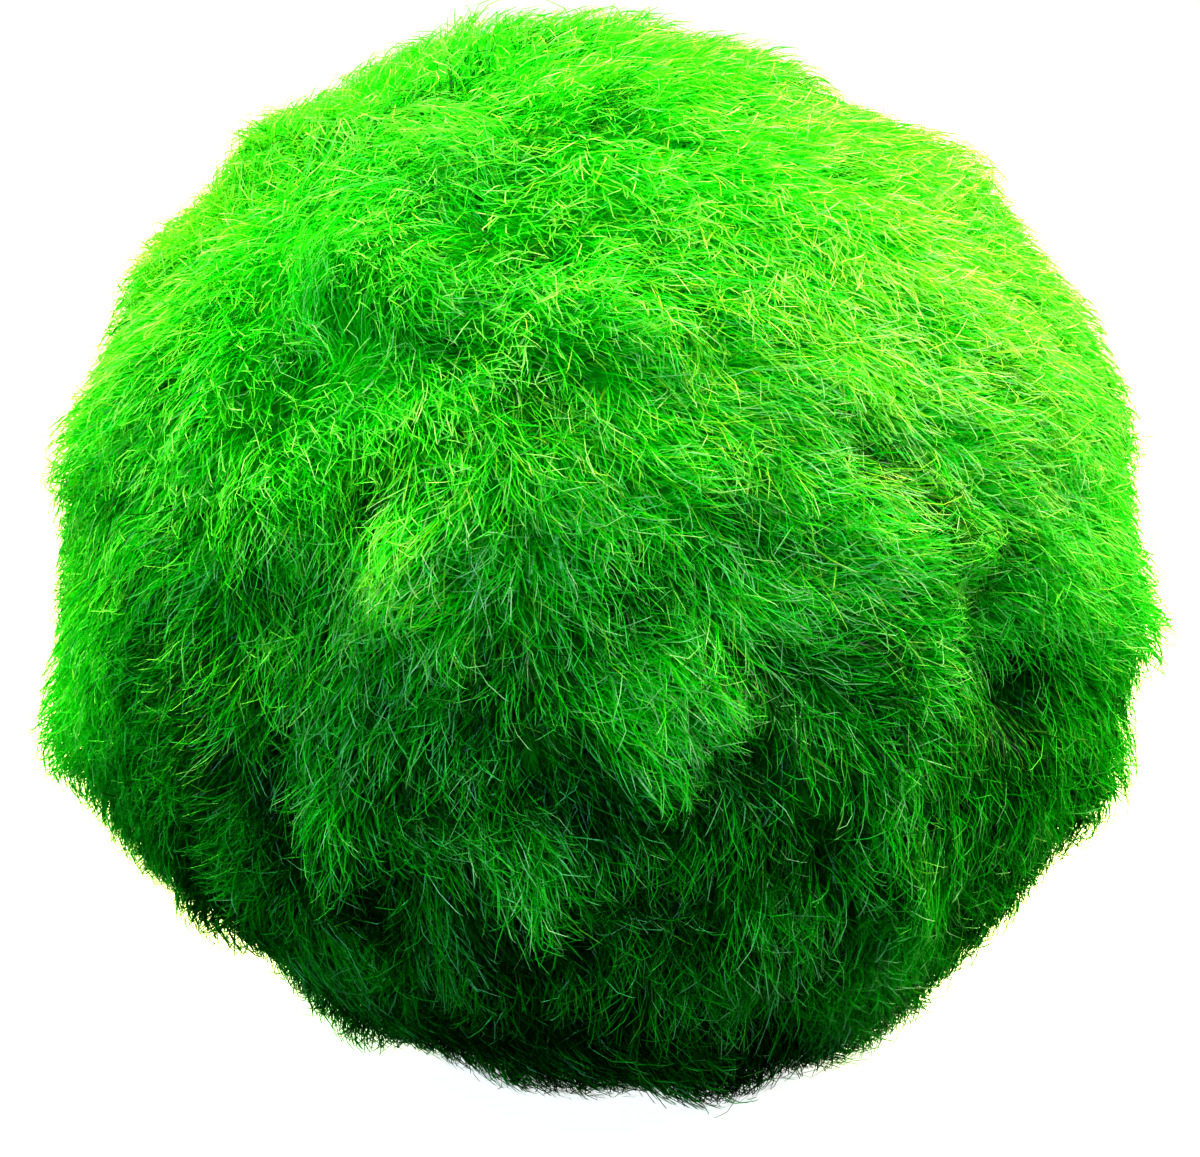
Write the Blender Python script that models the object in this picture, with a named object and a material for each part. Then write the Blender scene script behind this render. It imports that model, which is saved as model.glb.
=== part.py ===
"""A marimo moss ball at its real size: one grown ball of fine green threads, resting on a small flat spot.

The ball is one piece, so it is one closed solid, and its surface lies where the threads end. An uneven round
body carries overlapping locks of thread. They are all combed away from one parting, high on the left of the
front, and each lock rises slowly from its root and ends in a steep tip, like a shingle.

Units are metres, with +Z up. The front faces -Y, and the origin is on the ground under the ball's middle.
"""

import bmesh
import bpy
import numpy as np
from mathutils import Vector

MM = 0.001

# Driving dimensions
BALL_DIAMETER = 42 * MM  # mean width over the tips of the threads
LOCK_COVER = 0.80 * MM  # how far the locks stand above the body on average
REST_SPOT_RADIUS = 5.5 * MM
SETTLED_SHARE = 50  # percent of that spot's points that the ball's weight presses flat
GRID_SQUARES = 28  # squares along each edge of the six-sided grid that the ball is made from

# The comb: threads run away from the parting, drawn a little up and to the left, and turn slightly
PARTING = (-68, 58)  # degrees round from the front to the right, and degrees up
COMB_DRAW = (-0.43, 0.0, 0.73)
COMB_TURN = -8  # degrees

# Broad lumps and flats of the body: degrees round, degrees up, half-width in degrees, rise in mm
BROAD_FORMS = (
    (82, -15, 22, 1.20),  # right shoulder
    (-82, -22, 17, 0.60),  # left haunch
    (-88, 10, 18, -0.50),  # left cheek
    (-68, -46, 20, -1.15),  # drawn-in lower left
    (74, -52, 17, 0.80),  # lower right corner
    (92, 26, 26, 1.05),  # full upper right
    (-96, 44, 20, -0.45),  # drawn-in upper left
    (-10, 84, 22, 0.45),  # crown
    (100, 68, 18, -0.50),  # flat right of the crown
    (-20, -70, 20, -0.45),  # flat left of the resting spot
    (160, 5, 34, 0.50),  # back swell
    (-140, 42, 30, 0.40),
    (-150, -35, 28, -0.45),
    (90, -38, 16, 0.35),
    (130, -42, 22, -0.35),
)

# Hollows where the threads part: degrees round, degrees up, half-width in mm, depth in mm
HOLLOWS = (
    (12, 32, 2.2, 0.60),
    (-21, 33, 2.0, 0.60),
    (-22, 54, 2.2, 0.40),
    (21, 11, 2.0, 0.60),
    (-37, 6, 2.2, 0.65),
    (25, 0, 2.0, 0.60),
    (32, -5, 1.8, 0.50),
    (15, -12, 1.8, 0.60),
    (-1, -14, 2.0, 0.60),
    (-14, -6, 2.0, 0.50),
    (27, -23, 2.0, 0.50),
    (-27, -33, 2.0, 0.50),
    (47, 5, 1.9, 1.10),  # furrow beside the right shoulder, in three steps
    (50, -1, 1.9, 1.20),
    (54, -8, 1.9, 1.30),
)

# Locks that stand out on the front: the tip's degrees round and up, then length, width and rise in mm
FRONT_LOCKS = (
    (-17, 7, 6.8, 5.8, 1.70),  # the fullest tuft, left of the middle
    (-11, 13, 7.0, 6.0, 0.80),  # ledge that runs up to the right from it
    (-1, 19, 8.0, 7.0, 0.80),
    (11, 20, 8.0, 6.0, 0.60),
    (8, -12, 6.2, 5.2, 1.70),  # twin tufts under the middle
    (15, -4, 6.0, 4.8, 1.10),
    (-6, -29, 5.5, 7.0, 1.30),  # low tufts
    (-29, -26, 7.0, 5.0, 1.30),
    (21, -37, 5.0, 4.8, 0.95),
    (42, -30, 9.5, 4.4, 1.10),
    (-18, -18, 6.0, 5.0, 0.60),
    (27, -18, 5.5, 4.6, 0.70),
    (-15, -43, 7.5, 6.6, 0.80),
    (11, 34, 7.0, 6.0, 1.10),  # shingles over the hollows of the upper front
    (-21, 37, 6.0, 6.0, 0.90),
    (-33, 42, 5.5, 5.2, 0.55),
    (21, 15, 7.5, 4.8, 1.10),
    (24, 4, 7.0, 4.8, 0.95),
    (33, -2, 7.0, 4.6, 0.90),
    (-22, 57, 8.0, 7.0, 0.60),
    (-14, -1, 6.5, 5.4, 0.70),
    (-36, 9, 7.0, 5.6, 0.90),  # left side
    (-46, 22, 6.0, 5.6, 0.60),
    (-46, -14, 7.0, 6.6, 0.70),
    (-60, -4, 7.5, 6.6, 0.45),
    (-52, 36, 7.0, 6.6, 0.60),
    (32, 28, 11.0, 6.0, 0.60),  # long low locks of the upper right
    (46, 45, 9.0, 6.6, 0.60),
    (61, 31, 9.0, 7.0, 0.50),
    (35, 15, 9.0, 5.2, 0.60),
    (45, 10, 9.0, 5.2, 0.80),
    (25, 65, 8.0, 6.8, 0.55),
    (5, 55, 8.0, 7.0, 0.50),
    (76, -5, 9.5, 8.6, 1.35),  # right shoulder
    (59, -18, 6.5, 6.0, 0.45),  # low lock under it
)

# The locks of the rest of the ball are scattered
LOCK_COUNT = 80  # with those of the front
LOCK_GAP = 15  # least angle between two tips, in degrees
LOCK_LENGTH = (8.5, 12.0)  # mm
LOCK_WIDTH = (7.5, 11.0)  # mm
LOCK_RISE = (0.80, 1.35)  # mm
LOCK_SEED = 102

# The form of one lock
TIP_NARROWING = 0.45  # share of the width lost from root to tip
TIP_FALL = 0.17  # length of the steep front, as a share of the lock's length
TIP_LEAN = 0.30  # how far a tip leans forward, as a share of its rise
BLEND = 4  # higher keeps the valleys between the locks sharper

THREAD_GREEN = (0.06, 0.42, 0.02, 1.0)


def clear_scene():
    for obj in list(bpy.data.objects):
        bpy.data.objects.remove(obj, do_unlink=True)


def direction(degrees_round, degrees_up):
    """Unit vector from the ball's centre."""
    a, b = np.radians(degrees_round), np.radians(degrees_up)
    return np.array([np.sin(a) * np.cos(b), -np.cos(a) * np.cos(b), np.sin(b)])


def unit(vectors):
    return vectors / np.linalg.norm(vectors, axis=-1, keepdims=True)


def along_surface(vector, outward):
    """The part of a vector that lies in the surface at each outward direction."""
    return vector - (outward @ vector)[..., None] * outward


def combed(outward):
    """The way the threads lie at each outward direction."""
    lie = unit(along_surface(-direction(*PARTING), outward))
    lie = unit(lie + along_surface(np.array(COMB_DRAW), outward))
    turn = np.radians(COMB_TURN)
    return np.cos(turn) * lie + np.sin(turn) * np.cross(outward, lie)


def scattered_locks(rng):
    """The front locks, and as many others as fit between them, as rows of the same kind."""
    locks = list(FRONT_LOCKS)
    tips = [direction(row[0], row[1]) for row in locks]
    while len(locks) < LOCK_COUNT:
        tip = unit(rng.normal(size=3))
        sizes = [rng.uniform(*limits) for limits in (LOCK_LENGTH, LOCK_WIDTH, LOCK_RISE)]
        if np.max(np.array(tips) @ tip) > np.cos(np.radians(LOCK_GAP)):
            continue
        degrees_round = np.degrees(np.arctan2(tip[0], -tip[1]))
        degrees_up = np.degrees(np.arcsin(tip[2]))
        locks.append((degrees_round, degrees_up, *sizes))
        tips.append(tip)
    return locks


def broad_rise(outward):
    rise = np.zeros(len(outward))
    for degrees_round, degrees_up, half_width, height in BROAD_FORMS:
        angle = np.arccos(np.clip(outward @ direction(degrees_round, degrees_up), -1, 1))
        rise += height * MM * np.exp(-((angle / np.radians(half_width)) ** 2))
    return rise


def hollow_depth(outward, radius):
    depth = np.zeros(len(outward))
    for degrees_round, degrees_up, half_width, deepest in HOLLOWS:
        off = radius * np.linalg.norm(outward - direction(degrees_round, degrees_up), axis=1)
        depth += deepest * MM * np.exp(-((off / (half_width * MM)) ** 2))
    return depth


def lock_rise(outward, radius, lock):
    """(height of one lock over the body, the way it points)."""
    degrees_round, degrees_up, length, width, rise = lock
    tip = direction(degrees_round, degrees_up)
    forward = combed(tip)
    facing = outward @ tip
    reach = radius / np.maximum(facing, 0.2)
    ahead = reach * (outward @ forward) / (length * MM)
    aside = reach * (outward @ np.cross(tip, forward)) / (width * MM / 2)
    risen = np.clip(ahead + 1, 0, 1)
    climb = risen * risen * (3 - 2 * risen)
    fall = np.exp(-((np.maximum(ahead, 0) / TIP_FALL) ** 2))
    crown = np.clip(1 - (aside / (1 - TIP_NARROWING * risen)) ** 2, 0, 1)
    return rise * MM * climb * fall * crown * (facing > 0.5), forward


def ball_points(outward):
    """Where each outward direction meets the ball's surface, before the ball settles on the ground."""
    radius = BALL_DIAMETER / 2 - LOCK_COVER
    total = np.zeros(len(outward))
    lean = np.zeros((len(outward), 3))
    for lock in scattered_locks(np.random.default_rng(LOCK_SEED)):
        height, forward = lock_rise(outward, radius, lock)
        total += height**BLEND
        lean += (height**BLEND)[:, None] * forward
    height = total ** (1 / BLEND)
    lean *= (TIP_LEAN * height / np.maximum(total, 1e-30))[:, None]
    reach = radius + broad_rise(outward) - hollow_depth(outward, radius) + height
    return reach[:, None] * outward + lean


def settled(points):
    """The points moved so that the ball stands over the origin, its lowest part pressed flat on z = 0."""
    middle = (points.min(axis=0) + points.max(axis=0)) / 2
    points = points - [middle[0], middle[1], 0]
    under = (np.hypot(points[:, 0], points[:, 1]) < REST_SPOT_RADIUS) & (points[:, 2] < 0)
    points[:, 2] -= np.percentile(points[under, 2], SETTLED_SHARE)
    points[:, 2] = np.maximum(points[:, 2], 0)
    return points


def six_sided_grid():
    """A cube of even squares, spread so that they are near equal on the ball."""
    grid = bmesh.new()
    bmesh.ops.create_cube(grid, size=2)
    bmesh.ops.subdivide_edges(grid, edges=grid.edges[:], cuts=GRID_SQUARES - 1, use_grid_fill=True)
    places = np.array([vert.co for vert in grid.verts])
    return grid, unit(np.tan(places * np.pi / 4))


def moss_ball():
    grid, outward = six_sided_grid()
    for vert, point in zip(grid.verts, settled(ball_points(outward)), strict=True):
        vert.co = Vector(point)
    bmesh.ops.triangulate(grid, faces=grid.faces[:], quad_method="SHORT_EDGE")
    bmesh.ops.recalc_face_normals(grid, faces=grid.faces[:])
    mesh = bpy.data.meshes.new("moss_ball")
    grid.to_mesh(mesh)
    grid.free()
    mesh.shade_smooth()
    ball = bpy.data.objects.new("moss_ball", mesh)
    bpy.context.scene.collection.objects.link(ball)
    return ball


def thread_material():
    material = bpy.data.materials.new("green_threads")
    material.use_nodes = True
    shader = material.node_tree.nodes["Principled BSDF"]
    shader.inputs["Base Color"].default_value = THREAD_GREEN
    shader.inputs["Roughness"].default_value = 0.85
    shader.inputs["Metallic"].default_value = 0.0
    return material


def main():
    clear_scene()
    ball = moss_ball()
    ball.data.materials.append(thread_material())


main()
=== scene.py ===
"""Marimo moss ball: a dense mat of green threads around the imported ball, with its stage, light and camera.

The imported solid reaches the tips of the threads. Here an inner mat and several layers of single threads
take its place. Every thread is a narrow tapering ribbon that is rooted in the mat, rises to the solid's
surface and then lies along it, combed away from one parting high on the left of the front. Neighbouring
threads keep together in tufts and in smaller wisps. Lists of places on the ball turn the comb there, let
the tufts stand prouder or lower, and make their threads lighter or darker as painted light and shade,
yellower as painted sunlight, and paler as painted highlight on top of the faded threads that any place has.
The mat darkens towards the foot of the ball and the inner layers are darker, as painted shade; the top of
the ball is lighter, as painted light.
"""

import math

import bmesh
import bpy
import numpy as np
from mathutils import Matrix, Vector
from mathutils.bvhtree import BVHTree
from mathutils.kdtree import KDTree


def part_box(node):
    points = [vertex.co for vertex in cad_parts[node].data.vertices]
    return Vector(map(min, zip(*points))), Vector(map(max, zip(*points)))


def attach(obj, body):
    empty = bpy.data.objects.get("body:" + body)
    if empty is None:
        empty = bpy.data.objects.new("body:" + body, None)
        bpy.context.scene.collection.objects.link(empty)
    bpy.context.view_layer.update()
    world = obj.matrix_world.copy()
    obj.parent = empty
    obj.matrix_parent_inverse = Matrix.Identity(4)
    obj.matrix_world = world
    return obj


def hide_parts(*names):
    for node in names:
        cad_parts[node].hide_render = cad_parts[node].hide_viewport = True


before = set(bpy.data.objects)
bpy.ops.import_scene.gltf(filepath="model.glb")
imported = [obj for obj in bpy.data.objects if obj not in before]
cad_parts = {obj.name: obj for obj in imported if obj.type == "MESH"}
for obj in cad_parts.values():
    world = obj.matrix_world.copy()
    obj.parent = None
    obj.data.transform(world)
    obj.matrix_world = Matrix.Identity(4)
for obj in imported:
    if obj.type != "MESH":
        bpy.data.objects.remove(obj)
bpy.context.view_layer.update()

bl_info = {
    "name": "Marimo Moss Ball",
    "version": (1, 0, 0),
    "blender": (4, 5, 0),
    "location": "3D View > Sidebar > Moss Ball",
    "description": "Grows the mat and the combed threads of a marimo moss ball, and sets its stage",
    "category": "Object",
}

MM = 0.001
NODE = "moss_ball"
BODY = "root"
BALL_LOW, BALL_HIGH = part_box(NODE)
BALL_CENTRE = np.array((BALL_LOW + BALL_HIGH) / 2)

# The comb of the ball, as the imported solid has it
PARTING = (-68, 58)  # degrees round from the front to the right, and degrees up
COMB_DRAW = (-0.43, 0.0, 0.73)
COMB_TURN = -8  # degrees
WHORL_WIDTH = 26  # degrees round the parting where the threads lie in every direction

# Places where the threads turn off the comb: degrees round, degrees up, half-width and turn in degrees. A
# turn over zero is anticlockwise as seen from outside.
LOCAL_TURNS = (
    # high on the ball
    (18, 62, 22, -22),
    (88, 52, 16, -28),
    (-24, 55, 9, -46),
    (-46, 38, 10, 44),
    (-34, 38, 6, 20),
    (-20, 37, 6, 24),
    (-64, 44, 9, -16),
    (-80, 36, 9, 10),
    (4, 36, 15, -8),
    (30, 35, 13, -26),
    (60, 32, 13, -28),
    (70, 42, 10, 20),
    (84, 20, 13, -22),
    (39, 25, 5, 22),
    # the upper front
    (-34, 26, 9, 46),
    (-62, 27, 10, 18),
    (-4, 25, 7, -24),
    (14, 28, 9, -14),
    (-15, 19, 7, -22),
    (-12, 12, 5, -26),
    (-30, 14, 8, 42),
    (-37, 11, 5, 14),
    (-42, 16, 7, 8),
    (43, 9, 5, -10),
    (60, 18, 8, -12),
    # the middle
    (-18, 3, 9, -38),
    (-4, 9, 7, 56),
    (7, 7, 7, 26),
    (26, 5, 6, 24),
    (37, 2, 10, 62),
    (-35, 3, 8, 32),
    (-66, 4, 10, 38),
    (-66, -9, 10, 44),
    (-50, -6, 7, -26),
    (3, -3, 7, 34),
    (12, -5, 5, -24),
    (72, -6, 9, -28),
    # the lower front
    (-32, -11, 9, 44),
    (-54, -18, 8, -10),
    (-44, -17, 6, -18),
    (6, -11, 7, 34),
    (-17, -16, 8, 30),
    (-6, -22, 10, 38),
    (-31, -29, 8, 18),
    (-7, -30, 6, 32),
    (16, -22, 7, -24),
    (22, -17, 5, -18),
    (29, -18, 4, 20),
    (49, -14, 11, -48),
    (74, -16, 9, -38),
    (44, -30, 11, -32),
    (-76, -28, 8, 22),
    (0, -41, 7, -46),
    (-28, -40, 9, -16),
    (31, -41, 7, -16),
    (-2, -60, 15, 56),
    (-44, -50, 10, 66),
    (-72, -38, 10, 28),
    # finer turns on top of these, all over the front
    (-27, 50, 6, -38),
    (-61, -9, 9, 30),
    (-14, 35, 5, 54),
    (-17, 45, 8, -34),
    (-20, 44, 5, -30),
    (-25, 49, 5, -68),
    (-16, 51, 5, -34),
    (-35, 32, 6, 118),
    (-8, 36, 4, 14),
    (-58, 5, 6, 26),
    (22, 19, 5, 14),
    (32, 14, 6, -32),
    (-60, 4, 6, 18),
    (49, -2, 6, 24),
    (17, -32, 6, 20),
    (-3, -38, 5, -28),
    (-10, 56, 7, -76),
    (56, 29, 8, -18),
    (-34, 39, 5, 28),
    (-17, 50, 5, -14),
    (29, 4, 6, 16),
    (21, -7, 5, 16),
    (-33, 31, 6, 26),
    (38, 35, 8, -13),
    (42, 22, 6, 22),
    (5, -8, 5, 12),
    (50, 34, 7, -8),
    (-25, 58, 6, -16),
)

# Places where painted light and painted shade make the threads lighter or darker in tone, and where they
# stand
# prouder or lie lower: degrees round, degrees up, half-width in degrees, change of tone, rise in mm
PAINTED_LIGHT_AND_RISE = (
    (60, 45, 20, 0.18, 0.0),  # the bright upper right
    (34, 40, 14, 0.20, 0.0),
    (-75, 52, 12, 0.12, 0.0),
    (-26, 54, 6, 0.18, 0.12),
    (-28, 62, 18, -0.14, 0.0),  # the deeper upper left
    (-8, 48, 5, 0.24, 0.15),
    (-49, 36, 7, 0.42, 0.30),
    (-40, 30, 5, 0.22, 0.18),
    (-71, 10, 9, 0.48, 0.35),
    (-15, 31, 5, -0.46, -0.50),
    (-3, 34, 5, 0.70, 0.95),
    (-5, 24, 5, -0.50, -0.50),
    (-10, 16, 5, 0.58, 0.56),
    (3, 20, 5, 0.16, 0.15),
    (-19, 9, 6, 0.62, 0.80),  # the fullest tuft
    (-23, 14, 4, -0.62, -0.54),
    (-20, 40, 9, 0.16, 0.10),
    (-20, 26, 8, 0.14, 0.0),
    (-30, 16, 5, 0.58, 0.56),
    (24, 27, 7, 0.18, 0.0),
    (-12, 9, 5, -0.58, -0.66),  # dark beside and under it
    (-14, -1, 6, -0.30, -0.30),
    (-12, -6, 4, -0.18, -0.20),
    (-38, 38, 5, 0.20, 0.18),
    (-3, 2, 5, -0.30, -0.32),
    (3, 10, 5, 0.18, 0.18),
    (15, 2, 4, 0.20, 0.22),
    (8, 4, 4, -0.26, -0.30),
    (28, 12, 7, 0.66, 1.0),  # bright band across the right side
    (35, 6, 5, 0.22, 0.30),
    (60, 4, 10, 0.46, 0.42),
    (67, -8, 7, 0.36, 0.26),
    (59, -1, 5, 0.30, 0.36),
    (67, -24, 5, 0.20, 0.16),
    (50, 17, 5, 0.34, 0.26),
    (43, 21, 5, 0.22, 0.15),
    (52, 10, 5, 0.22, 0.18),
    (18, 14, 6, -0.70, -0.78),  # dark valleys on both sides of it
    (30, 19, 6, -0.78, -0.72),
    (33, 24, 4, 0.42, 0.36),
    (37, 16, 6, -0.74, -0.84),
    (48, 3, 5, -0.46, -0.50),
    (24, 0, 5, -0.70, -1.0),
    (33, -4, 5, -0.52, -0.82),
    (56, -10, 5, -0.76, -1.0),
    (50, -15, 4, 0.28, 0.32),
    (40, 4, 4, 0.20, 0.20),
    (44, -17, 5, -0.32, -0.32),
    (50, -18, 6, -0.44, -0.55),
    (58, -25, 6, -0.24, -0.20),
    (7, -6, 6, 0.70, 1.1),  # bright twin tufts under the middle
    (16, -9, 4, -0.36, -0.80),
    (8, -15, 5, -0.56, -0.92),
    (0, -11, 4, -0.24, -0.32),
    (12, -18, 4, -0.20, -0.30),
    (22, -13, 6, -0.58, -0.86),
    (28, -20, 5, -0.58, -0.68),
    (35, -14, 4, 0.18, 0.20),
    (34, -27, 5, -0.34, -0.40),
    (-7, -14, 5, -0.42, -0.56),
    (-18, -8, 4, 0.20, 0.20),
    (-21, -14, 5, -0.26, -0.36),
    (-22, -22, 4, -0.18, -0.22),
    (-61, -12, 7, 0.42, 0.34),
    (-39, -7, 5, -0.16, -0.20),
    (-50, -4, 5, -0.16, -0.20),
    (-46, -12, 5, -0.30, -0.30),
    (-40, -15, 5, 0.20, 0.25),
    (-4, -25, 5, 0.38, 0.55),  # bright low tufts
    (-2, -28, 4, 0.10, 0.10),
    (-12, -25, 6, 0.16, 0.30),
    (-17, -27, 5, 0.28, 0.35),
    (-28, -17, 5, 0.54, 0.64),
    (-37, -28, 6, -0.76, -0.90),
    (-30, -35, 5, -0.42, -0.50),
    (-74, -20, 8, 0.90, 0.65),
    (-60, -30, 6, -0.50, -0.44),
    (-54, -28, 5, -0.40, -0.38),
    (-46, -30, 6, 0.48, 0.42),
    (-42, -24, 5, 0.34, 0.34),
    (8, -29, 5, -0.36, -0.45),
    (13, -32, 5, -0.24, -0.28),
    (31, -33, 5, 0.12, 0.20),
    (-9, -32, 5, -0.98, -1.0),
    (-18, -36, 4, 0.24, 0.24),
    (-20, -45, 5, -0.42, -0.38),
    (-35, -18, 5, -0.32, -0.32),
    (-25, -30, 4, -0.20, -0.22),
    (3, -25, 4, -0.22, -0.24),
    (39, -23, 5, 0.20, 0.20),
    (-4, -37, 4, 0.54, 0.44),
    (-2, -44, 5, -0.26, -0.26),
    (8, -42, 6, 0.20, 0.25),
    (2, -52, 7, 0.10, 0.10),
    (15, -53, 6, 0.34, 0.15),
    (30, -56, 6, -0.56, -0.40),
    (28, -45, 6, 0.20, 0.20),
    (47, -49, 8, 0.88, 0.35),
    (48, -40, 5, 0.14, 0.10),
    (-36, -43, 8, 0.16, 0.10),
    (-29, -44, 6, 0.22, 0.15),
    (-17, -56, 7, -0.70, -0.64),
)

# Places where many threads are a sunny yellow-green, painted sunlight where the light falls strongest:
# degrees round, degrees up, half-width in degrees, and the share of the threads. Everywhere else a small
# share of them is.
PAINTED_SUNLIGHT = (
    (54, 44, 24, 0.80),  # the upper right
    (24, 30, 14, 0.35),
    (52, 20, 10, 0.35),
    (-72, 42, 14, 0.75),  # the left edge
    (0, 74, 12, 0.30),
    (0, 26, 12, 0.20),
    (-20, 10, 7, 0.45),  # the fullest tuft
    (32, 14, 8, 0.20),
    (-78, 18, 12, 0.60),
)
SUNNY_ANYWHERE = 0.03

# Places where more of the threads are pale, as painted highlight on lit tufts, or fewer: degrees round,
# degrees up, half-width in degrees, and the change of the fading
PAINTED_HIGHLIGHTS = (
    (38, 32, 14, 1.00),
    (30, 12, 7, 0.40),
    (-22, 12, 9, 0.60),
    (-14, 26, 12, 0.30),
    (-30, 32, 13, 0.50),
    (66, 4, 14, -0.30),
)
FADING_ANYWHERE = 0.82  # how much the most faded threads of any place gain in tone
FADING_RARITY = 5  # higher makes the faded threads fewer
FADING_LOW_SIDES = 0.6  # share of it that the low left and right sides lack, as painted shade
LOW_SIDES_ACROSS = (0.55, 0.85)  # where these begin and are whole, on a ball with a radius of 1
LOW_SIDES_UP = (0.48, 0.08)
FADING_BY_TUFT = (4, 1.5)  # how much more the tufts and wisps of higher tone fade
FADING_LIMITS = (0.2, 2.4)  # of the factor that these two give

# The tone of a thread runs from 0, deep green, by way of fresh green to 1, pale. It is made up of these and
# of the tones of its place, layer, tuft and wisp.
TONE_MIDDLE = 0.25  # halfway up the ball
PAINTED_TOP_LIGHT = 0.20  # painted light, added at the top, and taken away at the foot as painted shade
TONE_FRINGE = 0.16  # added at the tips of a tuft: partly fresher growth, partly painted light on the raised tips
TONE_PATCHES = ((0.07, 5, 12), (0.06, 16, 13), (0.05, 45, 14))  # amount, waves round the ball, seed
TONE_SPREAD = 0.12  # from thread to thread
TONE_RANGE = (0.01, 0.99)  # which keeps the two halves of the map apart
TOP_EVENNESS = 0.35  # share of that spread that the top of the ball lacks, as painted light: fewer dark threads there
TOP_LAYERS_ALIKE = 0.8  # share of the layers' own painted light and shade that it lacks
TOP_GROWTH = 1.2  # how soon the ball's upper half turns into its top
FRESHEST = 0.60  # the most that a place does for its threads' tone; above it they fade, one by one

# The layers of threads, from the inside out. Lengths, depths and widths are in mm. Depths are measured from
# the solid's surface inwards, so a depth under zero stands out of it. Swerve and curl are the spread of the
# threads' turns at the root and along the thread, in degrees. Pull is how far the tips gather in tufts and
# wisps. Tone darkens the inner layers and lightens the outer ones: painted shade and painted light.
LAYERS = (
    dict(name="under_threads", count=30000, steps=3, length=(1.3, 2.4), root=1.9, tip=(0.65, 1.15),
         width=0.095, swerve=38, curl=34, pull=0.25, tone=-0.22, seed=21),
    dict(name="combed_threads_1", count=30000, steps=3, length=(1.2, 2.3), root=1.6, tip=(0.32, 0.72),
         width=0.054, swerve=24, curl=38, pull=0.40, tone=-0.14, seed=23),
    dict(name="combed_threads_2", count=36000, steps=3, length=(1.3, 2.4), root=1.4, tip=(0.14, 0.50),
         width=0.048, swerve=22, curl=38, pull=0.45, tone=-0.05, seed=24),
    dict(name="combed_threads_3", count=28000, steps=4, length=(1.3, 2.6), root=1.3, tip=(0.00, 0.34),
         width=0.044, swerve=21, curl=50, pull=0.45, tone=0.05, seed=25),
    dict(name="combed_threads_4", count=26000, steps=4, length=(1.4, 2.8), root=1.2, tip=(-0.10, 0.20),
         width=0.042, swerve=23, curl=54, pull=0.40, tone=0.12, seed=26),
    dict(name="stray_threads", count=12000, steps=4, length=(1.0, 2.2), root=1.0, tip=(-0.20, 0.05),
         width=0.037, swerve=44, curl=66, pull=0.10, tone=0.16, seed=27),
)
PALE_TIPPED = ("combed_threads_4", "stray_threads")
PALE_TIPS = 0.40  # how pale the tips of these two are
INNER_PALE_TIPS = 0.15  # and those of the others
SEE_THROUGH = 0.32  # share of the light that passes through a thread

# Neighbouring threads share their lie, their height and their tone in tufts, and these in smaller wisps:
# turns in degrees, the waves round the ball of their drift, lifts and lengths in mm
TUFTS = dict(count=560, seed=7, turn=11, waves=6, lift=(-0.10, 0.30), tone=0.08, length=5.2)
WISPS = dict(count=4200, seed=8, turn=13, waves=16, lift=(-0.16, 0.16), tone=0.17, length=2.6)
TUFT_FRINGE = 0.35  # mm by which a tuft's tips stand over its roots
FRINGE_MIDDLE = 0.6  # how far along a tuft its threads are neither raised nor lowered
FRINGE_END = 1.2  # how far along it they can be
WISP_PULL = 0.6  # the wisp's part in gathering the tips; the rest is the tuft's

# The form of one thread
TIP_PLACE = 0.6  # how far along a thread the place is that sets its shade and height
CURL_MIDDLE = 0.4  # how far along a thread its curl leaves the heading as it is
KINK_SHARE = 0.15  # how much a thread turns at each point, as a share of its curl
ROOT_RISE = 2.2  # higher makes a thread rise sooner from its root
STEEPEST = 0.42  # most that it sinks towards the ball for each length that it grows
BLUNT_FROM = 0.9  # where its end begins
TAPER = 0.30  # share of its width that it loses
RIBBON_ROLL = 38  # degrees of spread about its own length

# How far the mat, the threads and their edges stay above the ground
MAT_CLEARANCE = 0.05 * MM
THREAD_CLEARANCE = 0.03 * MM
EDGE_CLEARANCE = 0.01 * MM

MAT_SUBDIVISIONS = 6  # of its icosphere
MAT_LUMPS = ((0.10, 60, 5), (0.06, 130, 6))  # height in mm, waves round the ball, seed
MAT_FOOT_SHADE = 0.12  # share of the mat's colour that is left at the foot of the ball, as painted shade
MAT_MOTTLING = 0.5  # how much its tangle shades it

SCATTER = 0.45  # how far evenly spread directions are moved, as a share of their spacing
NOISE_WAVES = 9  # waves that a soft noise is the sum of
NOISE_SPREAD = (0.6, 1.4)  # their number round the ball, as shares of the number asked for
DRIFT_SEEDS = 100  # from a bunch's seed to the seed of its drift

# Where the map of the threads keeps clear of its edges, and how wide each thread lies in it
MAP_MARGIN = 0.02
MAP_WIDTH = 0.004

# Stops of the threads' colours, in tones and in shares of the way from root to tip
FRESH_TONE = 0.5  # from here up a thread is fully fresh or sunny
FADED_TONES = (0.72, 1.0)
LIT_ROOT_TONES = (0.20, 0.65)
ROOT_STRETCH = (0.10, 0.70)
TIP_STRETCH = (0.55, 1.0)
DARKEST_ROOT = (0.001, 0.110, 0.002, 1.0)
CELL_SHADES = (0.82, 1.0)
LIGHT_THROUGH = (0.60, 1.0, 0.20, 1.0)  # what a thread lets through of red, green and blue

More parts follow.
